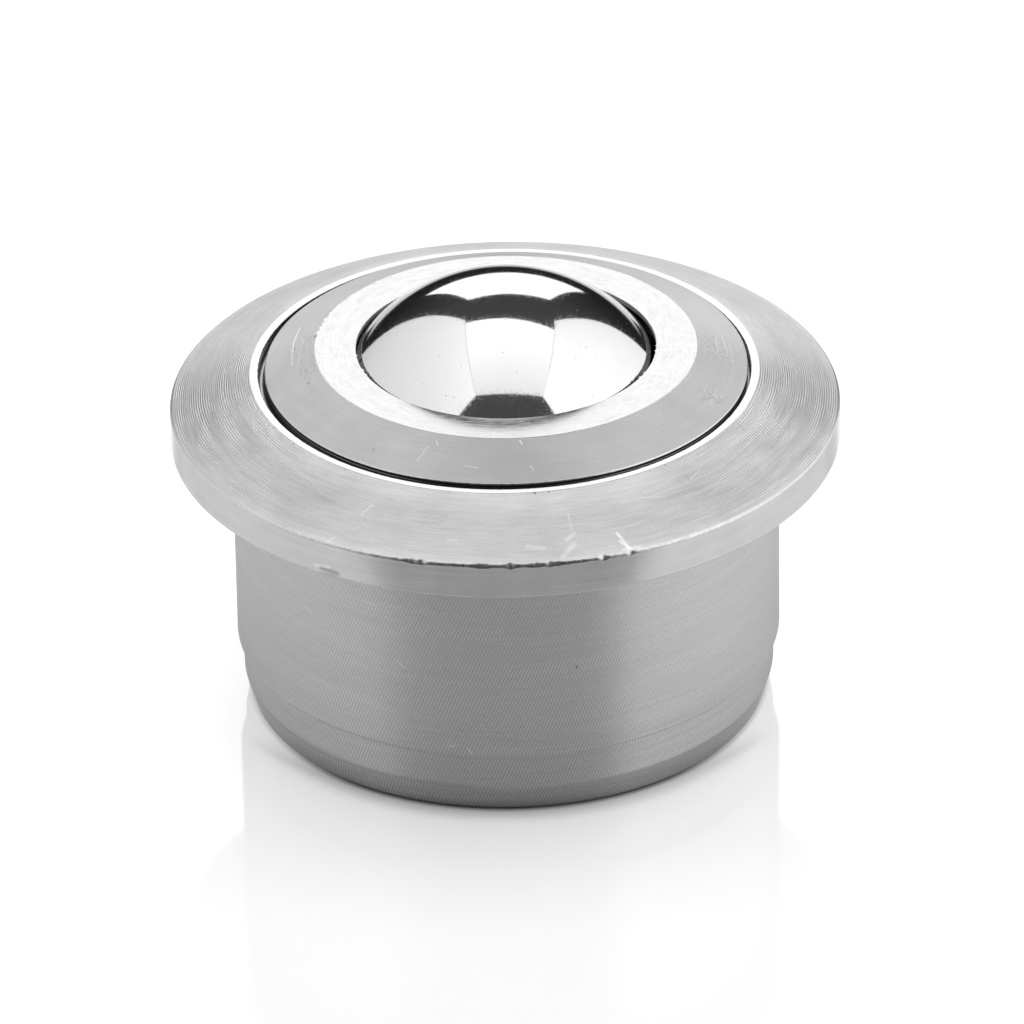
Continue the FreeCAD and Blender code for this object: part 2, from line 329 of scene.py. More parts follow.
def make_wall_steel():
    """Steel with leaning chatter ridges, level feed bands and scratches."""
    finish = Finish("turned_wall_steel")
    lathe = Lathe(finish)
    wander = finish.swing(lathe.blots(3.0), 2.5)
    phase = finish.total(
        finish.product(lathe.angle, float(CHATTER_RIDGES)),
        finish.product(lathe.height, -CHATTER_LEAN),
        wander,
    )
    patches = finish.product(
        finish.ramp(lathe.blots(2.2), 0.0, 0.50),
        finish.ramp(lathe.rings(lathe.height, 2.2, 12.0), -0.1, 0.55),
    )
    # painted shade: the taper of the foot is painted darker, for the shadow it mirrors
    foot = finish.ramp(lathe.height, FOOT_TOP + 0.2, FOOT_TOP - 0.2)
    from_ticks = finish.math("ABSOLUTE", finish.total(lathe.height, -TICK_HEIGHT))
    ticks = finish.product(
        finish.ramp(finish.math("SINE", phase), 0.0, 0.8),
        finish.product(
            finish.ramp(from_ticks, 0.28, 0.12),
            finish.ramp(lathe.angle, -0.08, -0.20),
        ),
    )
    feed_fine = lathe.rings(lathe.height, 7.0, 2.5)
    front = finish.ramp(finish.product(lathe.unit["Y"], -1.0), 0.45, 0.85)
    strength = finish.product(patches, finish.total(0.45, finish.scaled(front, 0.55)))
    strength = finish.product(strength, finish.ramp(feed_fine, 0.30, 0.62))
    chatter = finish.product(finish.math("SINE", phase), strength)
    feed_wide = lathe.rings(lathe.height, 0.7, 0.8)
    grain = lathe.blots(0.12)
    scratches = lathe.lines([
        ((-17.13, -14.59, 16.45), (-15.92, -15.90, 15.50), 0.09, 0.10),
        ((-11.78, -19.17, 18.64), (-10.57, -19.86, 18.46), 0.10, 0.09),
        ((-9.05, -20.60, 13.72), (-8.41, -20.87, 13.21), 0.09, 0.16),
        ((-5.05, -21.93, 6.44), (-4.40, -22.06, 6.51), 0.09, 0.14),
        ((-3.43, -22.24, 6.40), (-3.12, -22.28, 5.86), 0.10, 0.14),
        ((5.40, -21.84, 13.72), (5.48, -21.82, 13.52), 0.14, -0.20),
    ])
    brightness = finish.total(
        0.41,
        # painted shade: the colour rises with height, so the wall is darker towards the foot
        finish.scaled(lathe.height, 0.0055, WALL_SHADE_MIDDLE),
        finish.scaled(chatter, 0.095),
        finish.swing(feed_fine, 0.09),
        finish.swing(feed_wide, 0.08),
        finish.swing(grain, 0.16),
        finish.scaled(foot, -0.05),
        finish.scaled(ticks, -0.10),
        scratches,
    )
    roughness = finish.total(0.40, finish.swing(feed_wide, 0.10))
    relief = finish.total(
        finish.scaled(chatter, 2.0), finish.scaled(feed_fine, 3.0), finish.scaled(grain, 1.5)
    )
    return finish_steel(finish, NEUTRAL, brightness, roughness, relief, smear=0.85, glancing=0.88)


wall_steel = make_wall_steel()
print("wall:", len(wall_steel.node_tree.nodes), "nodes")

# %% [markdown]
# ## The flange
#
# The conical top of the flange was faced with a pointed tool, so it has fine grooves round the
# axis, some deeper than others. They show most at the sides, where the light crosses them: there
# they are cut deeper, their colour contrast is painted stronger and the faint arcs are shown only
# there, a painted light. The grooved face spreads the ceiling's light, so its shading leans a
# little towards straight up, and its back is painted a little lighter than its front, a painted
# light. The rim is smoother, and its upper edge is worn and lumpy in front. All carry a few knocks.

# %% The flange's finishes
GROOVE_PITCH = 0.18


def make_flange_steel():
    """Steel with concentric facing grooves and the slashes near the front edge."""
    finish = Finish("faced_flange_steel")
    lathe = Lathe(finish)
    fine = lathe.rings(lathe.radius, 6.0, 8.0, 3.0)
    broad = lathe.rings(lathe.radius, 2.4, 4.0)
    depth = finish.ramp(lathe.rings(lathe.radius, 1.1, 5.0), 0.35, 0.65)
    # the grooves are cut deeper at the sides, and their colour contrast there is painted light
    sides = finish.ramp(finish.math("ABSOLUTE", lathe.unit["X"]), 0.55, 0.92)
    depth = finish.product(depth, finish.total(0.25, finish.scaled(sides, 0.95)))
    wander = finish.swing(lathe.rings(lathe.radius, 0.8, 2.0), 6.0)
    turns = finish.total(finish.scaled(lathe.radius, TURN / GROOVE_PITCH), wander)
    grooves = finish.product(finish.math("SINE", turns), depth)
    arcs = finish.ramp(lathe.rings(lathe.radius, 7.0, 9.0), 0.66, 0.76)
    soft = lathe.blots(4.0)
    grain = lathe.blots(0.12, 3.0)
    inner_edge = finish.ramp(lathe.radius, 23.5, 21.0)
    outer_edge = finish.ramp(lathe.radius, 26.4, 27.3)
    nicks = finish.product(
        finish.ramp(lathe.rings(lathe.radius, 0.6, 45.0), 0.68, 0.74),
        finish.ramp(lathe.radius, 21.15, 20.90),
    )
    slashes = lathe.lines([
        ((8.78, -24.00, 27.15), (9.94, -25.51, 26.34), 0.20, 0.45),
        ((8.95, -24.70, 26.90), (9.94, -25.51, 26.34), 0.16, 0.30),
        ((5.33, -25.36, 26.98), (4.43, -26.51, 26.56), 0.34, 0.18),
        ((5.35, -24.36, 27.42), (4.78, -24.95, 27.22), 0.26, 0.18),
        ((4.90, -22.57, 28.24), (5.19, -24.00, 27.59), 0.14, 0.14),
        ((1.58, -25.70, 27.06), (2.93, -25.80, 26.96), 0.32, 0.16),
        ((9.30, -25.45, 26.50), (10.59, -25.03, 26.42), 0.30, 0.20),
        ((-13.74, -22.97, 26.61), (-14.14, -23.17, 26.45), 0.16, 0.25),
        ((-11.57, -21.31, 27.74), (-10.76, -20.60, 28.20), 0.16, 0.14),
        ((-4.70, -24.88, 27.26), (-4.06, -24.94, 27.28), 0.22, 0.14),
        ((14.76, -17.50, 28.33), (15.60, -16.22, 28.51), 0.10, 0.18),
        ((14.50, -17.20, 28.50), (14.76, -17.50, 28.33), 0.10, -0.16),
        ((10.69, -20.28, 28.31), (12.70, -19.76, 28.07), 0.12, 0.12),
        ((18.84, -9.73, 29.08), (19.39, -10.20, 28.77), 0.09, -0.16),
        ((21.27, -17.28, 26.33), (21.42, -17.65, 26.17), 0.12, -0.30),
        ((21.44, -6.63, 28.70), (22.03, -8.02, 28.30), 0.10, -0.25),
        ((18.62, -12.20, 28.70), (19.98, -13.10, 28.00), 0.08, -0.15),
        ((21.10, -14.60, 27.40), (21.20, -17.00, 27.00), 0.09, -0.15),
    ])
    brightness = finish.total(
        0.60,
        finish.scaled(grooves, 0.16),
        finish.swing(fine, 0.22),
        finish.swing(broad, 0.12),
        finish.swing(soft, 0.16),
        finish.swing(grain, 0.18),
        # painted light: the arcs are real marks, but shown only at the sides where light grazes
        # them
        finish.scaled(finish.product(arcs, sides), 0.16),
        # painted light: the back of the face is a little lighter than the front
        finish.scaled(lathe.unit["Y"], 0.045),
        finish.scaled(inner_edge, 0.08),
        finish.scaled(outer_edge, 0.06),
        finish.scaled(nicks, -0.35),
        slashes,
    )
    roughness = finish.total(0.39, finish.swing(broad, 0.15))
    relief = finish.total(
        finish.scaled(grooves, 6.0),
        finish.scaled(fine, 5.0),
        finish.scaled(broad, 7.0),
        finish.scaled(grain, 3.0),
        finish.scaled(slashes, -8.0),
    )
    return finish_steel(
        finish, NEUTRAL, brightness, roughness, relief, smear=0.75, facing=finish.lifted(0.16)
    )


def make_rim_steel():
    """The smoother side of the rim, with faint level lines."""
    finish = Finish("rim_steel")
    lathe = Lathe(finish)
    fine = lathe.rings(lathe.height, 8.0, 2.0)
    soft = lathe.blots(2.5)
    grain = lathe.blots(0.12)
    chip = lathe.lines([
        ((-14.90, -23.10, 23.95), (-13.60, -23.90, 23.85), 0.30, -0.22),
        ((-15.40, -22.78, 24.05), (-14.30, -23.48, 24.20), 0.22, 0.14),
    ])
    brightness = finish.total(
        0.475,
        finish.swing(fine, 0.12),
        finish.swing(soft, 0.08),
        finish.swing(grain, 0.04),
        chip,
    )
    roughness = finish.total(0.14, finish.swing(soft, 0.06))
    relief = finish.total(finish.scaled(fine, 1.5), finish.scaled(grain, 0.3))
    return finish_steel(finish, NEUTRAL, brightness, roughness, relief, smear=0.8, glancing=0.84)


def make_edge_steel():
    """Worn and burred edges: smoother at the sides and lumpy in front."""
    finish = Finish("worn_edge_steel")
    lathe = Lathe(finish)
    front = finish.ramp(finish.product(lathe.unit["Y"], -1.0), 0.65, 0.90)
    lumps = finish.product(
        finish.swing(lathe.blots(0.35, 3.0), 1.0),
        finish.total(0.15, finish.scaled(front, 0.85)),
    )
    brightness = finish.total(0.54, finish.scaled(lumps, 0.45))
    roughness = finish.total(0.30, finish.scaled(lumps, 0.25))
    return finish_steel(finish, NEUTRAL, brightness, roughness, finish.scaled(lumps, 7.0))


flange_steel = make_flange_steel()
rim_steel = make_rim_steel()
edge_steel = make_edge_steel()
print("flange:", len(flange_steel.node_tree.nodes), "nodes")

# %% [markdown]
# ## The cap and the mouth
#
# The cap's flat face and the land round the mouth are the brightest metal. They were finished flat
# and carry short curved streaks, which are faint on the land. The cap's cone is satin: a fine even
# grain under light scratches and scuffs, and its shading leans towards straight up as the flange's
# does. Its colour is painted lighter at the left and right, a painted light. At the back left the
# flat face is torn into the cone, so the border there frays: the torn part takes the flat's
# shading. The short wall of the opening is scraped, and inside the gap the metal is painted dark,
# a painted shade.

# %% The cap's finishes
CAP_SHIFT = 0.15
CAP_FLAT_RADIUS = 15.60


def make_ground_steel(name, level, marks):
    """Bright flat steel; its curved streaks are as strong as its share of marks."""
    finish = Finish(name)
    lathe = Lathe(finish)
    streaks = lathe.rings(lathe.radius, 5.0, 14.0, 3.0)
    smears = lathe.rings(lathe.radius, 1.6, 9.0)
    grain = lathe.blots(0.10)
    pits = finish.ramp(lathe.blots(0.45, 3.0), 0.70, 0.78)
    brightness = finish.total(
        level,
        finish.swing(streaks, 0.22 * marks),
        finish.swing(smears, 0.12 * marks),
        finish.swing(grain, 0.05 * marks),
        finish.scaled(pits, -0.15 * marks),
    )
    roughness = finish.total(0.17, finish.swing(streaks, 0.20 * marks))
    relief = finish.total(finish.scaled(streaks, 2.5 * marks), finish.scaled(grain, 0.5 * marks))
    return finish_steel(finish, NEUTRAL, brightness, roughness, relief, smear=0.2)


def make_satin_steel():
    """The cap's cone: satin grain, faint rings and light scratches."""
    finish = Finish("satin_cone_steel")
    lathe = Lathe(finish, (CAP_SHIFT, 0.0, 0.0))
    grain = lathe.blots(0.10, 3.0)
    rings = lathe.rings(lathe.radius, 5.0, 3.0)
    soft = lathe.blots(4.0)
    scratches = lathe.lines([
        ((-6.38, -15.65, 30.80), (-7.28, -16.90, 30.14), 0.08, 0.22),
        ((-8.49, -17.90, 29.52), (-8.73, -18.23, 29.34), 0.10, 0.35),
        ((1.01, -15.83, 31.22), (1.17, -16.10, 31.10), 0.10, 0.45),
        ((1.78, -18.11, 30.19), (2.02, -18.47, 30.02), 0.08, 0.30),
        ((-3.43, -17.93, 30.18), (-2.39, -18.21, 30.14), 0.08, 0.25),
        ((-5.73, -15.20, 31.09), (-5.58, -15.70, 30.90), 0.08, 0.30),
        ((-10.82, -14.85, 30.16), (-10.74, -14.98, 30.14), 0.14, -0.20),
        ((16.87, 0.70, 30.72), (16.94, 0.58, 30.69), 0.14, -0.20),
        ((-16.94, 5.34, 30.40), (-17.32, 3.16, 30.46), 0.09, 0.35),
        ((-17.32, 3.16, 30.46), (-17.50, 1.04, 30.50), 0.10, 0.40),
        ((-17.50, 1.04, 30.50), (-17.51, -1.32, 30.48), 0.08, 0.30),
        ((-17.32, 3.30, 30.46), (-17.32, 1.04, 30.56), 0.09, -0.18),
        ((-16.56, 2.43, 30.85), (-17.01, -1.39, 30.70), 0.07, 0.20),
        ((-19.90, 3.25, 29.34), (-18.81, 2.80, 29.84), 0.08, -0.12),
        ((-15.57, 2.27, 31.29), (-15.66, 2.15, 31.27), 0.20, -0.35),
        ((-16.07, -4.86, 30.82), (-16.15, -4.90, 30.80), 0.16, -0.35),
        ((16.33, -6.87, 30.42), (17.20, -7.68, 29.92), 0.08, -0.18),
        ((16.72, -7.30, 30.18), (15.81, -8.02, 30.41), 0.08, -0.14),
        ((17.74, 3.19, 30.28), (17.99, 0.59, 30.29), 0.07, 0.22),
        ((17.22, 2.15, 30.58), (17.32, -0.27, 30.59), 0.07, 0.20),
        ((18.35, 1.80, 30.09), (18.44, -1.09, 30.09), 0.07, 0.18),
        ((15.19, 6.31, 31.35), (15.80, 5.42, 31.26), 0.09, -0.30),
        ((15.32, 5.09, 31.35), (15.75, 5.90, 31.28), 0.08, -0.25),
    ])
    scuffs = finish.product(
        lathe.patches([
            ((-16.0, 1.2, 31.1), 3.0),
            ((-16.3, -2.6, 30.9), 2.2),
            ((17.2, 0.3, 30.6), 3.0),
            ((16.8, -7.2, 30.2), 1.8),
        ]),
        finish.swing(lathe.blots(0.20, 4.0), 1.0),
    )
    arcs = finish.ramp(lathe.rings(lathe.radius, 9.0, 11.0), 0.66, 0.78)
    torn_side = finish.ramp(
        finish.total(lathe.unit["Y"], finish.scaled(lathe.unit["X"], -0.3)), 0.22, 0.62
    )
    reach = finish.total(0.06, finish.scaled(torn_side, 0.46))
    frays = finish.scaled(lathe.rings(lathe.radius, 2.0, 42.0), 2.0, 0.46)
    border = finish.product(frays, reach)
    past = finish.math("SUBTRACT", finish.total(lathe.radius, -CAP_FLAT_RADIUS), border)
    torn = finish.ramp(past, 0.08, -0.04)
    ticks = finish.product(
        finish.ramp(lathe.rings(lathe.radius, 0.9, 60.0), 0.60, 0.68),
        finish.product(finish.ramp(lathe.radius, 16.15, 15.75), torn_side),
    )
    brightness = finish.total(
        0.53,
        finish.swing(grain, 0.10),
        finish.swing(rings, 0.10),
        finish.swing(soft, 0.12),
        finish.scaled(arcs, 0.10),
        finish.scaled(scuffs, 0.50),
        finish.scaled(ticks, -0.12),
        # painted light: the cone's colour is lighter at the left and right sides
        finish.scaled(finish.math("ABSOLUTE", lathe.unit["X"]), 0.09, 0.40),
        scratches,
    )
    roughness = finish.total(0.44, finish.swing(grain, 0.12), finish.scaled(torn, -0.24))
    relief = finish.total(
        finish.scaled(grain, 2.5), finish.scaled(rings, 4.0), finish.scaled(scuffs, 8.0)
    )
    facing = finish.lifted(finish.total(0.38, finish.scaled(torn, 0.62)))
    return finish_steel(finish, NEUTRAL, brightness, roughness, relief, smear=0.8, facing=facing)


def make_lip_steel():
    """The short wall of the opening, scraped up and down."""
    finish = Finish("lip_steel")
    lathe = Lathe(finish)
    scrapes = lathe.rings(lathe.height, 0.8, 90.0)
    brightness = finish.total(0.20, finish.swing(scrapes, 0.20))
    roughness = finish.total(0.45, finish.swing(scrapes, 0.2))
    return finish_steel(
        finish, NEUTRAL, brightness, roughness, finish.scaled(scrapes, 4.0),
        facing=finish.lifted(0.40),
    )


def make_gap_painted_shade_steel():
    """The walls inside the gap and the housing, painted dark: a painted shade."""
    finish = Finish("gap_wall_painted_shade")
    lathe = Lathe(finish)
    fine = lathe.rings(lathe.height, 6.0, 1.5)
    brightness = finish.total(0.12, finish.swing(fine, 0.12))
    roughness = finish.total(0.30, finish.swing(fine, 0.10))
    return finish_steel(finish, NEUTRAL, brightness, roughness, finish.scaled(fine, 4.0))


ground_steel = make_ground_steel("ground_face_steel", 0.53, 1.0)
mouth_steel = make_ground_steel("mouth_land_steel", 0.58, 0.25)
satin_steel = make_satin_steel()
lip_steel = make_lip_steel()
gap_painted_shade_steel = make_gap_painted_shade_steel()
print("cap:", len(satin_steel.node_tree.nodes), "nodes")

# %% [markdown]
# ## The polished ball
#
# The load ball is a mirror. What makes it look like steel and not like glass is its slightly grey
# reflection, a scatter of tiny specks from use, and a thin film with dust in it, which is a little
# less metallic and shows where the ball mirrors the dark.

# %% The ball's finish
def make_mirror_steel():
    """Mirror steel with specks, a thin film and the faintest haze."""
    finish = Finish("polished_ball_steel")
    lathe = Lathe(finish, (0.0, 0.0, 22.0))
    specks = finish.ramp(lathe.blots(0.28, 1.0), 0.76, 0.82)
    haze = lathe.blots(2.0)
    film = finish.ramp(lathe.blots(0.16, 3.0), 0.46, 0.72)
    dust = finish.ramp(lathe.blots(0.11, 1.0), 0.70, 0.78)
    brightness = finish.total(0.64, finish.swing(haze, 0.03), finish.scaled(specks, -0.30))
    roughness = finish.total(
        0.055,
        finish.swing(haze, 0.03),
        finish.scaled(film, 0.11),
        finish.scaled(specks, 0.25),
    )
    metal = finish.total(1.0, finish.scaled(film, -0.015), finish.scaled(dust, -0.10))
    finish.feed(finish.shader.inputs["Metallic"], metal)
    return finish_steel(
        finish, (1.0, 1.0, 1.0), brightness, roughness, finish.scaled(haze, 0.3), glancing=0.85
    )


mirror_steel = make_mirror_steel()
print("ball:", len(mirror_steel.node_tree.nodes), "nodes")

# %% [markdown]
# ## Turning a piece
#
# A turned piece is a section spun about the axis, so `bmesh.ops.spin` makes it as a lathe would.
# Its sharp corners are then bevelled, because a real edge always catches a line of light. Each
# large face keeps its own flat shade: an edge between a large and a small face is marked sharp,
# and the small faces of one bevel stay smooth among themselves.

# %% Spin, soften and shade
RING_TOLERANCE = 0.01
CREASE_RATIO = 2.5


def place_of(vertex):
    """The radius and height of a vertex, in millimetres."""
    return math.hypot(vertex.co.x, vertex.co.y) / MM, vertex.co.z / MM


def spin_section(corners, steps, closed=False):
    """Spins (radius, height) corners in millimetres into a closed shell."""
    shell = bmesh.new()
    points = [shell.verts.new((0, -radius * MM, height * MM)) for radius, height in corners]
    for here, there in zip(points, points[1:]):
        shell.edges.new((here, there))
    if closed:
        shell.edges.new((points[-1], points[0]))
    bmesh.ops.spin(
        shell, geom=shell.verts[:] + shell.edges[:], cent=(0, 0, 0), axis=(0, 0, 1),
        angle=TURN, steps=steps, use_merge=True,
    )
    bmesh.ops.remove_doubles(shell, verts=shell.verts[:], dist=0.001 * MM)
    bmesh.ops.recalc_face_normals(shell, faces=shell.faces[:])
    return shell


def ring_edges(shell, corners=None):
    """The edges that run round the axis, all of them or those at the given corners."""
    found = []
    for edge in shell.edges:
        (first, low), (second, high) = (place_of(vertex) for vertex in edge.verts)
        level = abs(first - second) < RING_TOLERANCE and abs(low - high) < RING_TOLERANCE
        if not level or first < RING_TOLERANCE:
            continue
        if corners is None or any(
            math.hypot(first - radius, low - height) < 2 * RING_TOLERANCE
            for radius, height in corners
        ):
            found.append(edge)
    return found


def soften(shell, corners, width, segments):
    """Rounds the rings at these corners."""
    bmesh.ops.bevel(
        shell, geom=ring_edges(shell, corners), offset=width * MM, offset_type="OFFSET",
        segments=segments, profile=0.5, affect="EDGES", material=-1,
    )


def shade(shell):
    """Smooth round the axis, with a crease wherever a large face meets a small one."""
    for face in shell.faces:
        face.smooth = True
    for edge in ring_edges(shell):
        areas = sorted(face.calc_area() for face in edge.link_faces)
        edge.smooth = areas[-1] < CREASE_RATIO * areas[0]


def make_piece(name, shell, finishes, node, body):
    """Turns a shell into a piece that rides on a body and stands for a CAD node."""
    data = bpy.data.meshes.new(name)
    shell.to_mesh(data)
    shell.free()
    for finish in finishes:
        data.materials.append(finish)
    piece = bpy.data.objects.new(name, data)
    scene.collection.objects.link(piece)
    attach(piece, body)
    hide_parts(node)
    print(name, "has", len(data.polygons), "faces")


print("rings within", RING_TOLERANCE, "mm count as one")

# %% [markdown]
# ## Wear on the rings
#
# Years of knocks have bitten into the edges. Each edge is moved by noise that runs round the axis
# in small steps, stronger where the picture shows burrs, so the worn line breaks up by itself.

# %% Wear
def degrees_from_front(vertex):
    """The angle round the axis, 0 at the front and growing to the right."""
    return math.degrees(math.atan2(vertex.co.x, -vertex.co.y))


def bump_at(angle, middle, reach):
    """Rises smoothly to 1 at the middle angle and is 0 beyond its reach."""
    share = abs(angle - middle) / reach
    return 0.0 if share >= 1 else (1 - share * share) ** 2


def roughly(angle, grain, seed):
    """Repeatable noise round the axis, from about -1 to 1, with lumps this many degrees long."""
    turn = math.radians(angle)
    reach = math.degrees(1) / grain
    return noise.noise(Vector((math.sin(turn) * reach, math.cos(turn) * reach, seed)))


def move_out(vertex, outward, upward):
    """Moves a vertex away from the axis and up, in millimetres."""
    flat = Vector((vertex.co.x, vertex.co.y, 0)).normalized()
    vertex.co += flat * outward * MM
    vertex.co.z += upward * MM


print("a knock reaches a few degrees round the rim")

# %% [markdown]
# ## The housing
#
# One section gives the whole housing: taper and land at the foot, body, flange with its conical
# top, the land round the mouth and the bore. The foot rests on the floor at height 0. Its faces
# get their finish by where they are: the uppermost part of the bore is still bright, and the rest
# of it takes the gap's dark steel, a painted shade.

# %% The housing's section
FLANGE_RADIUS = 27.497
RIM_BOTTOM, RIM_TOP = 23.4, 26.4
RIM_ROUNDING = 0.17
RIM_CHAMFER = 0.10
BRIGHT_BORE = 0.35
BODY_RADIUS, LAND_RADIUS, BASE_RADIUS = 22.5, 22.0, 21.3
LAND_TOP, BODY_BOTTOM = 5.4, 5.65
MOUTH_RADIUS, BORE_RADIUS = 20.84, 20.17
MOUTH_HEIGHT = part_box("housing")[1].z / MM
BALL_HEIGHT = 22.0
HOUSING_STEPS = 1080

bore_arc = [
    (
        BORE_RADIUS * math.sin(math.radians(turn)),
        BALL_HEIGHT - BORE_RADIUS * math.cos(math.radians(turn)),
    )
    for turn in range(0, 91, 10)
]
housing = spin_section(
    [
        (0, 0),
        (BASE_RADIUS, 0),
        (LAND_RADIUS, FOOT_TOP),
        (LAND_RADIUS, LAND_TOP),
        (BODY_RADIUS, BODY_BOTTOM),
        (BODY_RADIUS, RIM_BOTTOM),
        (FLANGE_RADIUS - RIM_CHAMFER, RIM_BOTTOM),
        (FLANGE_RADIUS, RIM_BOTTOM + RIM_CHAMFER),
        (FLANGE_RADIUS, RIM_TOP),
        (MOUTH_RADIUS, MOUTH_HEIGHT),
        (BORE_RADIUS, MOUTH_HEIGHT),
        (BORE_RADIUS, MOUTH_HEIGHT - BRIGHT_BORE),
        *bore_arc[::-1],
    ],
    HOUSING_STEPS,
)
soften(housing, [(BASE_RADIUS, 0)], 0.30, 5)
steps = [(LAND_RADIUS, FOOT_TOP), (LAND_RADIUS, LAND_TOP), (BODY_RADIUS, BODY_BOTTOM)]
soften(housing, steps, 0.10, 2)
chamfer = [(FLANGE_RADIUS - RIM_CHAMFER, RIM_BOTTOM), (FLANGE_RADIUS, RIM_BOTTOM + RIM_CHAMFER)]
soften(housing, chamfer, 0.03, 2)
soften(housing, [(FLANGE_RADIUS, RIM_TOP)], RIM_ROUNDING, 6)
soften(housing, [(MOUTH_RADIUS, MOUTH_HEIGHT)], 0.02, 1)
soften(housing, [(BORE_RADIUS, MOUTH_HEIGHT)], 0.05, 2)
shade(housing)
print("housing section spun in", HOUSING_STEPS, "steps")

# %% The housing's finishes and wear
WALL, RIM, EDGE, FLANGE, MOUTH, GAP = range(6)


def housing_zone(radius, height):
    """Which finish a face of the housing has."""
    if radius < BORE_RADIUS + 0.02:
        # the bore below its bright top takes the gap steel, painted dark as shade
        bright = radius > BORE_RADIUS - 0.02 and height > MOUTH_HEIGHT - BRIGHT_BORE
        return RIM if bright else GAP
    if height > MOUTH_HEIGHT - 0.03:
        return MOUTH
    if height > RIM_TOP - RIM_ROUNDING and radius > FLANGE_RADIUS - RIM_ROUNDING:
        return EDGE
    if radius > BODY_RADIUS + 1.0 and height < RIM_TOP:
        return RIM
    return FLANGE if height > RIM_TOP else WALL


for face in housing.faces:
    middle = face.calc_center_median()
    face.material_index = housing_zone(math.hypot(middle.x, middle.y) / MM, middle.z / MM)

NEAR_RIM, UPPER_EDGE, LOWER_EDGE = 26.5, 25.9, 24.0
RIM_KNOCKS = [(-15.0, 3.4), (-4.2, 2.4), (0.5, 2.0), (6.5, 4.0), (16.3, 1.3), (20.8, 0.8)]
RIM_CHIP = (-31.0, 2.6)
for vertex in housing.verts:
    radius, height = place_of(vertex)
    angle = degrees_from_front(vertex)
    if radius > NEAR_RIM and height > UPPER_EDGE:
        burr = 0.5 + 0.5 * roughly(angle, 1.1, 1.0) + 0.12 * roughly(angle, 0.4, 2.0)
        front = bump_at(angle, 0, 60)
        knock = sum(bump_at(angle, middle, reach) for middle, reach in RIM_KNOCKS)
        bite = max(0.0, burr) * (0.01 + 0.05 * front) + 0.18 * knock * max(0.3, burr)
        share = min(1.0, max(0.0, (height - RIM_TOP) / (1.4 * RIM_ROUNDING) + 0.7))
        move_out(vertex, -1.4 * bite * share, bite * (1.6 * share - 1.0))
    elif radius > NEAR_RIM and height < LOWER_EDGE:
        chip = bump_at(angle, *RIM_CHIP) * (0.6 + 0.8 * roughly(angle, 0.5, 3.0))
        nibble = 0.05 * max(0.0, roughly(angle, 0.8, 4.0))
        if height > RIM_BOTTOM + 0.02:
            move_out(vertex, -0.04 * chip, 0.12 * chip + nibble)
        else:
            move_out(vertex, -0.16 * chip - nibble, 0.0)
    elif abs(radius - BORE_RADIUS) < 0.12 and height > MOUTH_HEIGHT - 0.1:
        move_out(vertex, 0.05 * max(0.0, roughly(angle, 0.9, 5.0)), 0.0)

make_piece(
    "turned_housing", housing,
    [wall_steel, rim_steel, edge_steel, flange_steel, mouth_steel, gap_painted_shade_steel],
    "housing", "housing",
)

# %% [markdown]
# ## The retaining cap
#
# The cap is a ring: a flat face, a satin cone, a skirt with a fine turned line down into the gap,
# and a hollow for the ball under a thin lip. It sits a little to one side in its play, as the
# uneven gap shows. The edge of the opening is thin and has tiny burrs. The hollow is given as
# radius and depth below the cap's top, and the skirt's line as depth into the skirt and height.

# %% The cap's section
CAP_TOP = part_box("retaining_cap")[1].z / MM
CAP_OPENING_RADIUS = 12.27
LIP_HEIGHT = 0.45
SKIRT_RADIUS, SKIRT_BOTTOM, SKIRT_TOP = 19.80, 29.00, 29.50
SKIRT_LINE = [(0.0, 29.14), (0.05, 29.17), (0.05, 29.24), (0.0, 29.27)]
CAP_BODY_RADIUS, CAP_BODY_TOP, CAP_NECK_RADIUS = 19.90, 28.10, 19.70
CAP_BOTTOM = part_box("retaining_cap")[0].z / MM
CAP_BOTTOM_INSIDE = 14.7
CAP_HOLLOW = [(13.0, 1.4), (14.0, 3.4)]
CAP_STEPS = 900

cap = spin_section(
    [
        (CAP_BOTTOM_INSIDE, CAP_BOTTOM),
        (CAP_BODY_RADIUS - 0.5, CAP_BOTTOM),
        (CAP_BODY_RADIUS, CAP_BOTTOM + 0.5),
        (CAP_BODY_RADIUS, CAP_BODY_TOP),
        (CAP_NECK_RADIUS, CAP_BODY_TOP + 0.02),
        (CAP_NECK_RADIUS, SKIRT_BOTTOM - 0.05),
        (SKIRT_RADIUS, SKIRT_BOTTOM),
        *[(SKIRT_RADIUS - depth, height) for depth, height in SKIRT_LINE],
        (SKIRT_RADIUS, SKIRT_TOP),
        (CAP_FLAT_RADIUS, CAP_TOP),
        (CAP_OPENING_RADIUS, CAP_TOP),
        (CAP_OPENING_RADIUS + 0.05, CAP_TOP - LIP_HEIGHT),
        *[(radius, CAP_TOP - depth) for radius, depth in CAP_HOLLOW],
    ],
    CAP_STEPS, closed=True,
)
soften(cap, [(SKIRT_RADIUS, SKIRT_TOP)], 0.08, 3)
soften(cap, [(CAP_FLAT_RADIUS, CAP_TOP)], 0.04, 2)
soften(cap, [(CAP_OPENING_RADIUS, CAP_TOP)], 0.04, 2)
shade(cap)
print("cap section spun in", CAP_STEPS, "steps")

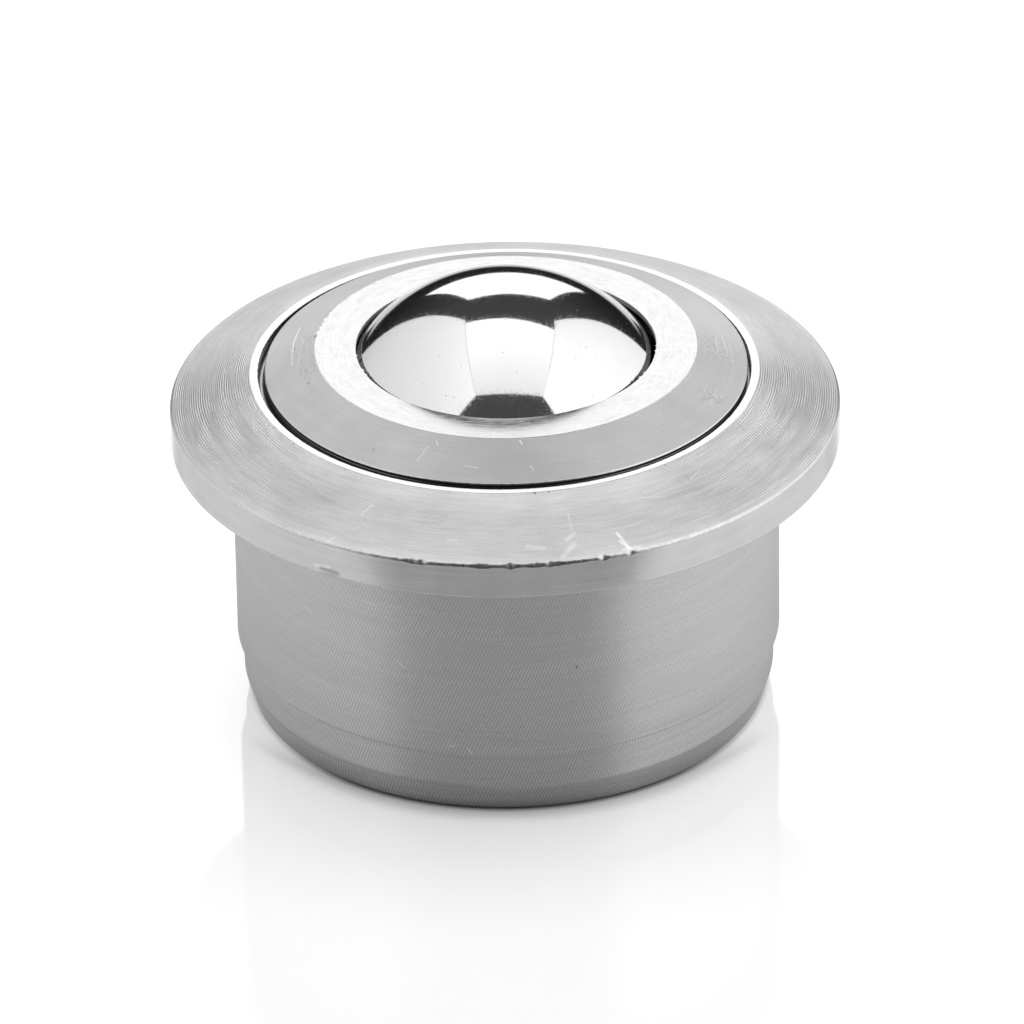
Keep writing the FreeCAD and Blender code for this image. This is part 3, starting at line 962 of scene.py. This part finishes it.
# %% The cap's finishes and burrs
FACE, CONE, CAP_EDGE, CAP_GAP, LIP = range(5)
for face in cap.faces:
    middle = face.calc_center_median()
    radius, height = math.hypot(middle.x, middle.y) / MM, middle.z / MM
    if height > CAP_TOP - 0.02 and radius < CAP_FLAT_RADIUS:
        face.material_index = FACE
    elif radius > CAP_FLAT_RADIUS - 0.01 and height > SKIRT_TOP + 0.04:
        face.material_index = CONE
    elif radius > SKIRT_RADIUS - 0.12 and height > SKIRT_TOP - 0.1:
        face.material_index = CAP_EDGE
    elif radius < CAP_OPENING_RADIUS + 0.06 and height > CAP_TOP - LIP_HEIGHT:
        face.material_index = LIP
    else:
        face.material_index = CAP_GAP

OPENING_BURRS = [(-72, 1.2), (-68, 0.8), (-84, 0.7), (62, 1.0), (66, 0.8), (84, 0.9), (88, 0.6)]
for vertex in cap.verts:
    radius, height = place_of(vertex)
    angle = degrees_from_front(vertex)
    if radius < CAP_OPENING_RADIUS + 0.06 and height > CAP_TOP - 0.1:
        burr = sum(bump_at(angle, middle, reach) for middle, reach in OPENING_BURRS)
        ragged = 0.03 * roughly(angle, 0.8, 6.0)
        move_out(vertex, ragged - 0.10 * burr, 0.02 * burr)
    vertex.co.x += CAP_SHIFT * MM

make_piece(
    "ground_cap", cap, [ground_steel, satin_steel, edge_steel, gap_painted_shade_steel, lip_steel],
    "retaining_cap", "housing",
)

# %% [markdown]
# ## The load ball
#
# An icosphere has no poles that pinch a reflection, and seven levels of it are smooth enough for a
# mirror.

# %% The ball
BALL_RADIUS = 15.0
BALL_LEVELS = 7
ball = bmesh.new()
bmesh.ops.create_icosphere(ball, subdivisions=BALL_LEVELS, radius=BALL_RADIUS * MM)
bmesh.ops.translate(ball, verts=ball.verts[:], vec=(0, 0, BALL_HEIGHT * MM))
for face in ball.faces:
    face.smooth = True
make_piece("load_ball_mirror", ball, [mirror_steel], "load_ball", "load_ball")

# %% [markdown]
# ## The pieces inside
#
# The cup, the support balls, the wire ring and the felt seal keep their CAD shapes. They are
# seldom seen, but each still gets its own finish.

# %% Finishes for the inside
def make_inside_steel(name, brightness, roughness):
    """Plain drawn or polished steel for the pieces inside."""
    finish = Finish(name)
    lathe = Lathe(finish)
    soft = lathe.blots(1.5)
    grain = lathe.blots(0.15)
    level = finish.total(brightness, finish.swing(soft, 0.08), finish.swing(grain, 0.05))
    rough = finish.total(roughness, finish.swing(soft, 0.08))
    return finish_steel(finish, NEUTRAL, level, rough, finish.scaled(grain, 1.0))


def make_felt():
    """Dense dark felt with short fibres."""
    finish = Finish("dark_felt")
    lathe = Lathe(finish)
    fibres = lathe.blots(0.2, 4.0)
    clumps = lathe.blots(1.2)
    shade_of_felt = finish.total(0.08, finish.swing(fibres, 0.10), finish.swing(clumps, 0.04))
    finish_steel(finish, (1.0, 0.97, 0.92), shade_of_felt, 0.95, finish.scaled(fibres, 60.0))
    finish.shader.inputs["Metallic"].default_value = 0.0
    finish.shader.inputs["Sheen Weight"].default_value = 0.4
    return finish.material


inside = {
    "load_cup": make_inside_steel("hardened_cup_steel", 0.50, 0.25),
    "snap_ring": make_inside_steel("drawn_wire_steel", 0.42, 0.35),
    "dust_seal": make_felt(),
}
bearing_steel = make_inside_steel("bearing_ball_steel", 0.62, 0.12)
for node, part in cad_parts.items():
    finish = bearing_steel if node.startswith("support_ball") else inside.get(node)
    if finish:
        part.data.materials.clear()
        part.data.materials.append(finish)
        print(node, "is", finish.name)

# %% [markdown]
# ## The floor
#
# The unit stands on a white glossy plate. The plate is lit like any white surface, so it takes the
# contact shadow, and it has a weak mirror in it. A thin line round the foot has its colour painted
# darker, a painted shadow. For the camera and for reflections the plate gets a little light of its
# own, which brings the open plate up to white without lighting the metal. In front it starts a
# little way out from the foot, which leaves a painted shadow there, and it is stronger beside and
# behind the unit, a painted light.

# %% The floor
FLOOR_WIDTH = 3.0
OWN_LIGHT = 0.27
FLOOR_WHITE, FOOT_SHARE = 0.80, 0.35
FLOOR_ROUGHNESS, FLOOR_IOR = 0.07, 1.85
# The contact reaches leave a painted shadow in front of the foot; the side light is painted light.
CONTACT_REACH = (0.0212, 0.0240)
CONTACT_FRONT = (-0.018, -0.008)
# painted shadow: the plate's colour is darker in a thin line round the foot
FOOT_SHADOW_LINE = (0.0212, 0.0219)
SIDE_LIGHT = 0.07
SIDE_REACH = (-0.030, -0.004)
SHADOW_REACH = (0.09, 0.24)


def make_floor_finish():
    """White gloss that goes over to plain white far from the unit."""
    finish = Finish("white_gloss_floor")
    lathe = Lathe(finish)
    path = finish.add("ShaderNodeLightPath").outputs
    seen = finish.math("MAXIMUM", path["Is Camera Ray"], path["Is Glossy Ray"])
    seen = finish.math("MAXIMUM", seen, path["Is Transmission Ray"])
    mottle = finish.swing(lathe.blots(30.0), 0.02)
    # painted shadow: the plate's colour is darkened in a thin line round the foot
    beyond_foot_shadow = finish.ramp(lathe.radius, FOOT_SHADOW_LINE[0] / MM, FOOT_SHADOW_LINE[1] / MM)
    white = finish.product(
        finish.total(FLOOR_WHITE, mottle),
        finish.total(FOOT_SHARE, finish.scaled(beyond_foot_shadow, 1 - FOOT_SHARE)),
    )
    finish.feed(finish.shader.inputs["Base Color"], white)
    finish.shader.inputs["Roughness"].default_value = FLOOR_ROUGHNESS
    finish.shader.inputs["IOR"].default_value = FLOOR_IOR
    forward = finish.add("ShaderNodeSeparateXYZ", lathe.point).outputs["Y"]
    # painted light beside and behind the unit, and a painted shadow in front of the foot
    beside = finish.ramp(forward, SIDE_REACH[0] / MM, SIDE_REACH[1] / MM)
    contact = finish.ramp(lathe.radius, CONTACT_REACH[0] / MM, CONTACT_REACH[1] / MM)
    behind = finish.ramp(forward, CONTACT_FRONT[0] / MM, CONTACT_FRONT[1] / MM)
    contact = finish.math("MAXIMUM", contact, behind)
    level = finish.total(OWN_LIGHT, finish.scaled(beside, SIDE_LIGHT))
    own_light = finish.product(finish.product(contact, level), seen)
    glow = finish.add("ShaderNodeEmission", (1, 1, 1, 1), own_light)
    lit = finish.add("ShaderNodeAddShader", finish.shader.outputs[0], glow.outputs[0])
    plain = finish.add("ShaderNodeEmission", (1, 1, 1, 1))
    finish.feed(plain.inputs["Strength"], finish.total(0.6, finish.scaled(seen, 0.4)))
    near, far = (reach / MM for reach in SHADOW_REACH)
    fade = finish.ramp(lathe.radius, near, far)
    blend = finish.add("ShaderNodeMixShader", fade, lit.outputs[0], plain.outputs[0])
    finish.feed(finish.tree.nodes["Material Output"].inputs["Surface"], blend.outputs[0])
    finish.material.cycles.emission_sampling = "NONE"
    return finish.material


def stage_piece(name, shell, finish, seen_by_camera):
    """Adds something that isn't part of the unit."""
    data = bpy.data.meshes.new(name)
    shell.to_mesh(data)
    shell.free()
    data.materials.append(finish)
    piece = bpy.data.objects.new(name, data)
    scene.collection.objects.link(piece)
    piece.visible_camera = seen_by_camera
    return piece


plate = bmesh.new()
bmesh.ops.create_grid(plate, x_segments=1, y_segments=1, size=FLOOR_WIDTH / 2)
stage_piece("floor_plate", plate, make_floor_finish(), True)
print("floor plate", FLOOR_WIDTH, "m wide")

# %% [markdown]
# ## The light tent
#
# The ball's reflections show where the lights were: a white ceiling panel, a tall white wall at
# each side that leans out a little, a bright panel low at the back, and darkness between and in
# front. The same four panels stand here, at the directions read from the ball, as glowing cards
# that fade across as the real ones do. The camera doesn't see them, so that the unit can be viewed
# from all sides.

# %% The tent's cards
TENT_HEIGHT = 0.6
BACK_DISTANCE = 1.1
CEILING = [(-0.337, -0.52, 1), (0.462, -0.53, 1), (0.460, 0.432, 1), (-0.336, 0.49, 1)]
LEFT_WALL = [(-0.340, -0.52, 1), (-0.340, 0.55, 1), (-0.612, 0.82, 0), (-0.612, -0.52, 0)]
RIGHT_WALL = [(0.465, -0.534, 1), (0.536, -0.534, 0), (0.536, 0.66, 0), (0.465, 0.60, 1)]
BACK_PANEL = [(-0.346, 1, 0.233), (0.327, 1, 0.159), (0.378, 1, 0.814), (-0.298, 1, 0.891)]
CEILING_LIGHT, LEFT_LIGHT, RIGHT_LIGHT, BACK_LIGHT = 1.55, 1.00, 1.60, 1.80
ROOM_LIGHT = 0.026


def make_glow(name, strength, falloff, sampled="AUTO"):
    """A plain glowing surface that changes by its falloff a metre, as a lit cloth fades."""
    finish = Finish(name)
    place = finish.add("ShaderNodeTexCoord").outputs["Object"]
    tilt = finish.add("ShaderNodeVectorMath", place, falloff, operation="DOT_PRODUCT")
    level = finish.total(strength, tilt.outputs["Value"])
    glow = finish.add("ShaderNodeEmission", (1, 1, 1, 1), level)
    finish.feed(finish.tree.nodes["Material Output"].inputs["Surface"], glow.outputs[0])
    finish.material.cycles.emission_sampling = sampled
    return finish.material


def hang_card(name, corners, reach, finish):
    """Hangs a four-cornered card whose corners are given in units of its reach."""
    card = bmesh.new()
    card.faces.new([card.verts.new(Vector(corner) * reach) for corner in corners])
    stage_piece(name, card, finish, False)


CARDS = [
    ("ceiling", CEILING, TENT_HEIGHT, CEILING_LIGHT, (0.0, 0.9, 0.0)),
    ("left", LEFT_WALL, TENT_HEIGHT, LEFT_LIGHT, (0.0, -0.25, 0.82)),
    ("right", RIGHT_WALL, TENT_HEIGHT, RIGHT_LIGHT, (0.0, -0.7, 0.1)),
    ("back", BACK_PANEL, BACK_DISTANCE, BACK_LIGHT, (0.0, 0.0, 0.0)),
]
for name, corners, reach, light, falloff in CARDS:
    hang_card(f"{name}_card", corners, reach, make_glow(f"{name}_glow", light, falloff))

room = bmesh.new()
bmesh.ops.create_cube(room, size=FLOOR_WIDTH)
room_glow = make_glow("room_dusk", ROOM_LIGHT, (0.0, -0.008, 0.035), "NONE")
stage_piece("dark_room", room, room_glow, False)
print("tent", TENT_HEIGHT, "m high")

# %% [markdown]
# ## The dark apron
#
# In the metal the white plate ends soon. It stops short in front of the unit and fades into the
# dark studio behind it, which draws the dark stripe down the front of the rim and the body and the
# thin outline of the ball. A dark apron round the plate does that. Only reflections see it, and
# only from above, so the plate's own mirror stays clear of it. It throws no shadow.

# %% The apron
APRON_HEIGHT = 0.5 * MM
APRON_FRONT = (0.053, 0.057)
APRON_ROUND = (0.15, 0.45)
FRONT_LIGHT, FAR_LIGHT = 0.58, 0.02


def make_apron_finish():
    """Clear near the unit and dark beyond the plate's front edge and its far reach."""
    finish = Finish("dark_apron")
    lathe = Lathe(finish)
    forward = finish.add("ShaderNodeSeparateXYZ", lathe.point).outputs["Y"]
    front = finish.ramp(forward, -APRON_FRONT[0] / MM, -APRON_FRONT[1] / MM)
    far = finish.ramp(lathe.radius, APRON_ROUND[0] / MM, APRON_ROUND[1] / MM)
    above = finish.math("SUBTRACT", 1.0, finish.add("ShaderNodeNewGeometry").outputs["Backfacing"])
    cover = finish.product(finish.math("MAXIMUM", front, far), above)
    near_light = finish.scaled(finish.math("SUBTRACT", 1.0, far), FRONT_LIGHT)
    level = finish.math("MAXIMUM", near_light, FAR_LIGHT)
    clear = finish.add("ShaderNodeBsdfTransparent").outputs[0]
    dusk = finish.add("ShaderNodeEmission", (1, 1, 1, 1), level).outputs[0]
    blend = finish.add("ShaderNodeMixShader", cover, clear, dusk).outputs[0]
    finish.feed(finish.tree.nodes["Material Output"].inputs["Surface"], blend)
    finish.material.cycles.emission_sampling = "NONE"
    return finish.material


cloth = bmesh.new()
bmesh.ops.create_grid(cloth, x_segments=1, y_segments=1, size=FLOOR_WIDTH / 2)
bmesh.ops.translate(cloth, verts=cloth.verts[:], vec=(0, 0, APRON_HEIGHT))
apron = stage_piece("dark_apron", cloth, make_apron_finish(), False)
apron.visible_diffuse = False
apron.visible_shadow = False
apron.visible_transmission = False
print("the plate seems to end", APRON_FRONT[0], "m in front of the unit")

# %% [markdown]
# ## The background
#
# The world is plain white for the camera and for reflections that leave the room.

# %% The world
world = bpy.data.worlds.new("white_background")
world.use_nodes = True
scene.world = world
tree = world.node_tree
path = tree.nodes.new("ShaderNodeLightPath").outputs
seen = path["Is Camera Ray"]
for ray in ("Is Glossy Ray", "Is Transmission Ray"):
    either = tree.nodes.new("ShaderNodeMath")
    either.operation = "MAXIMUM"
    tree.links.new(seen, either.inputs[0])
    tree.links.new(path[ray], either.inputs[1])
    seen = either.outputs[0]
background = tree.nodes["Background"]
background.inputs["Color"].default_value = (1, 1, 1, 1)
tree.links.new(seen, background.inputs["Strength"])
scene.view_settings.view_transform = "Standard"
print("background strength 1 for the camera")
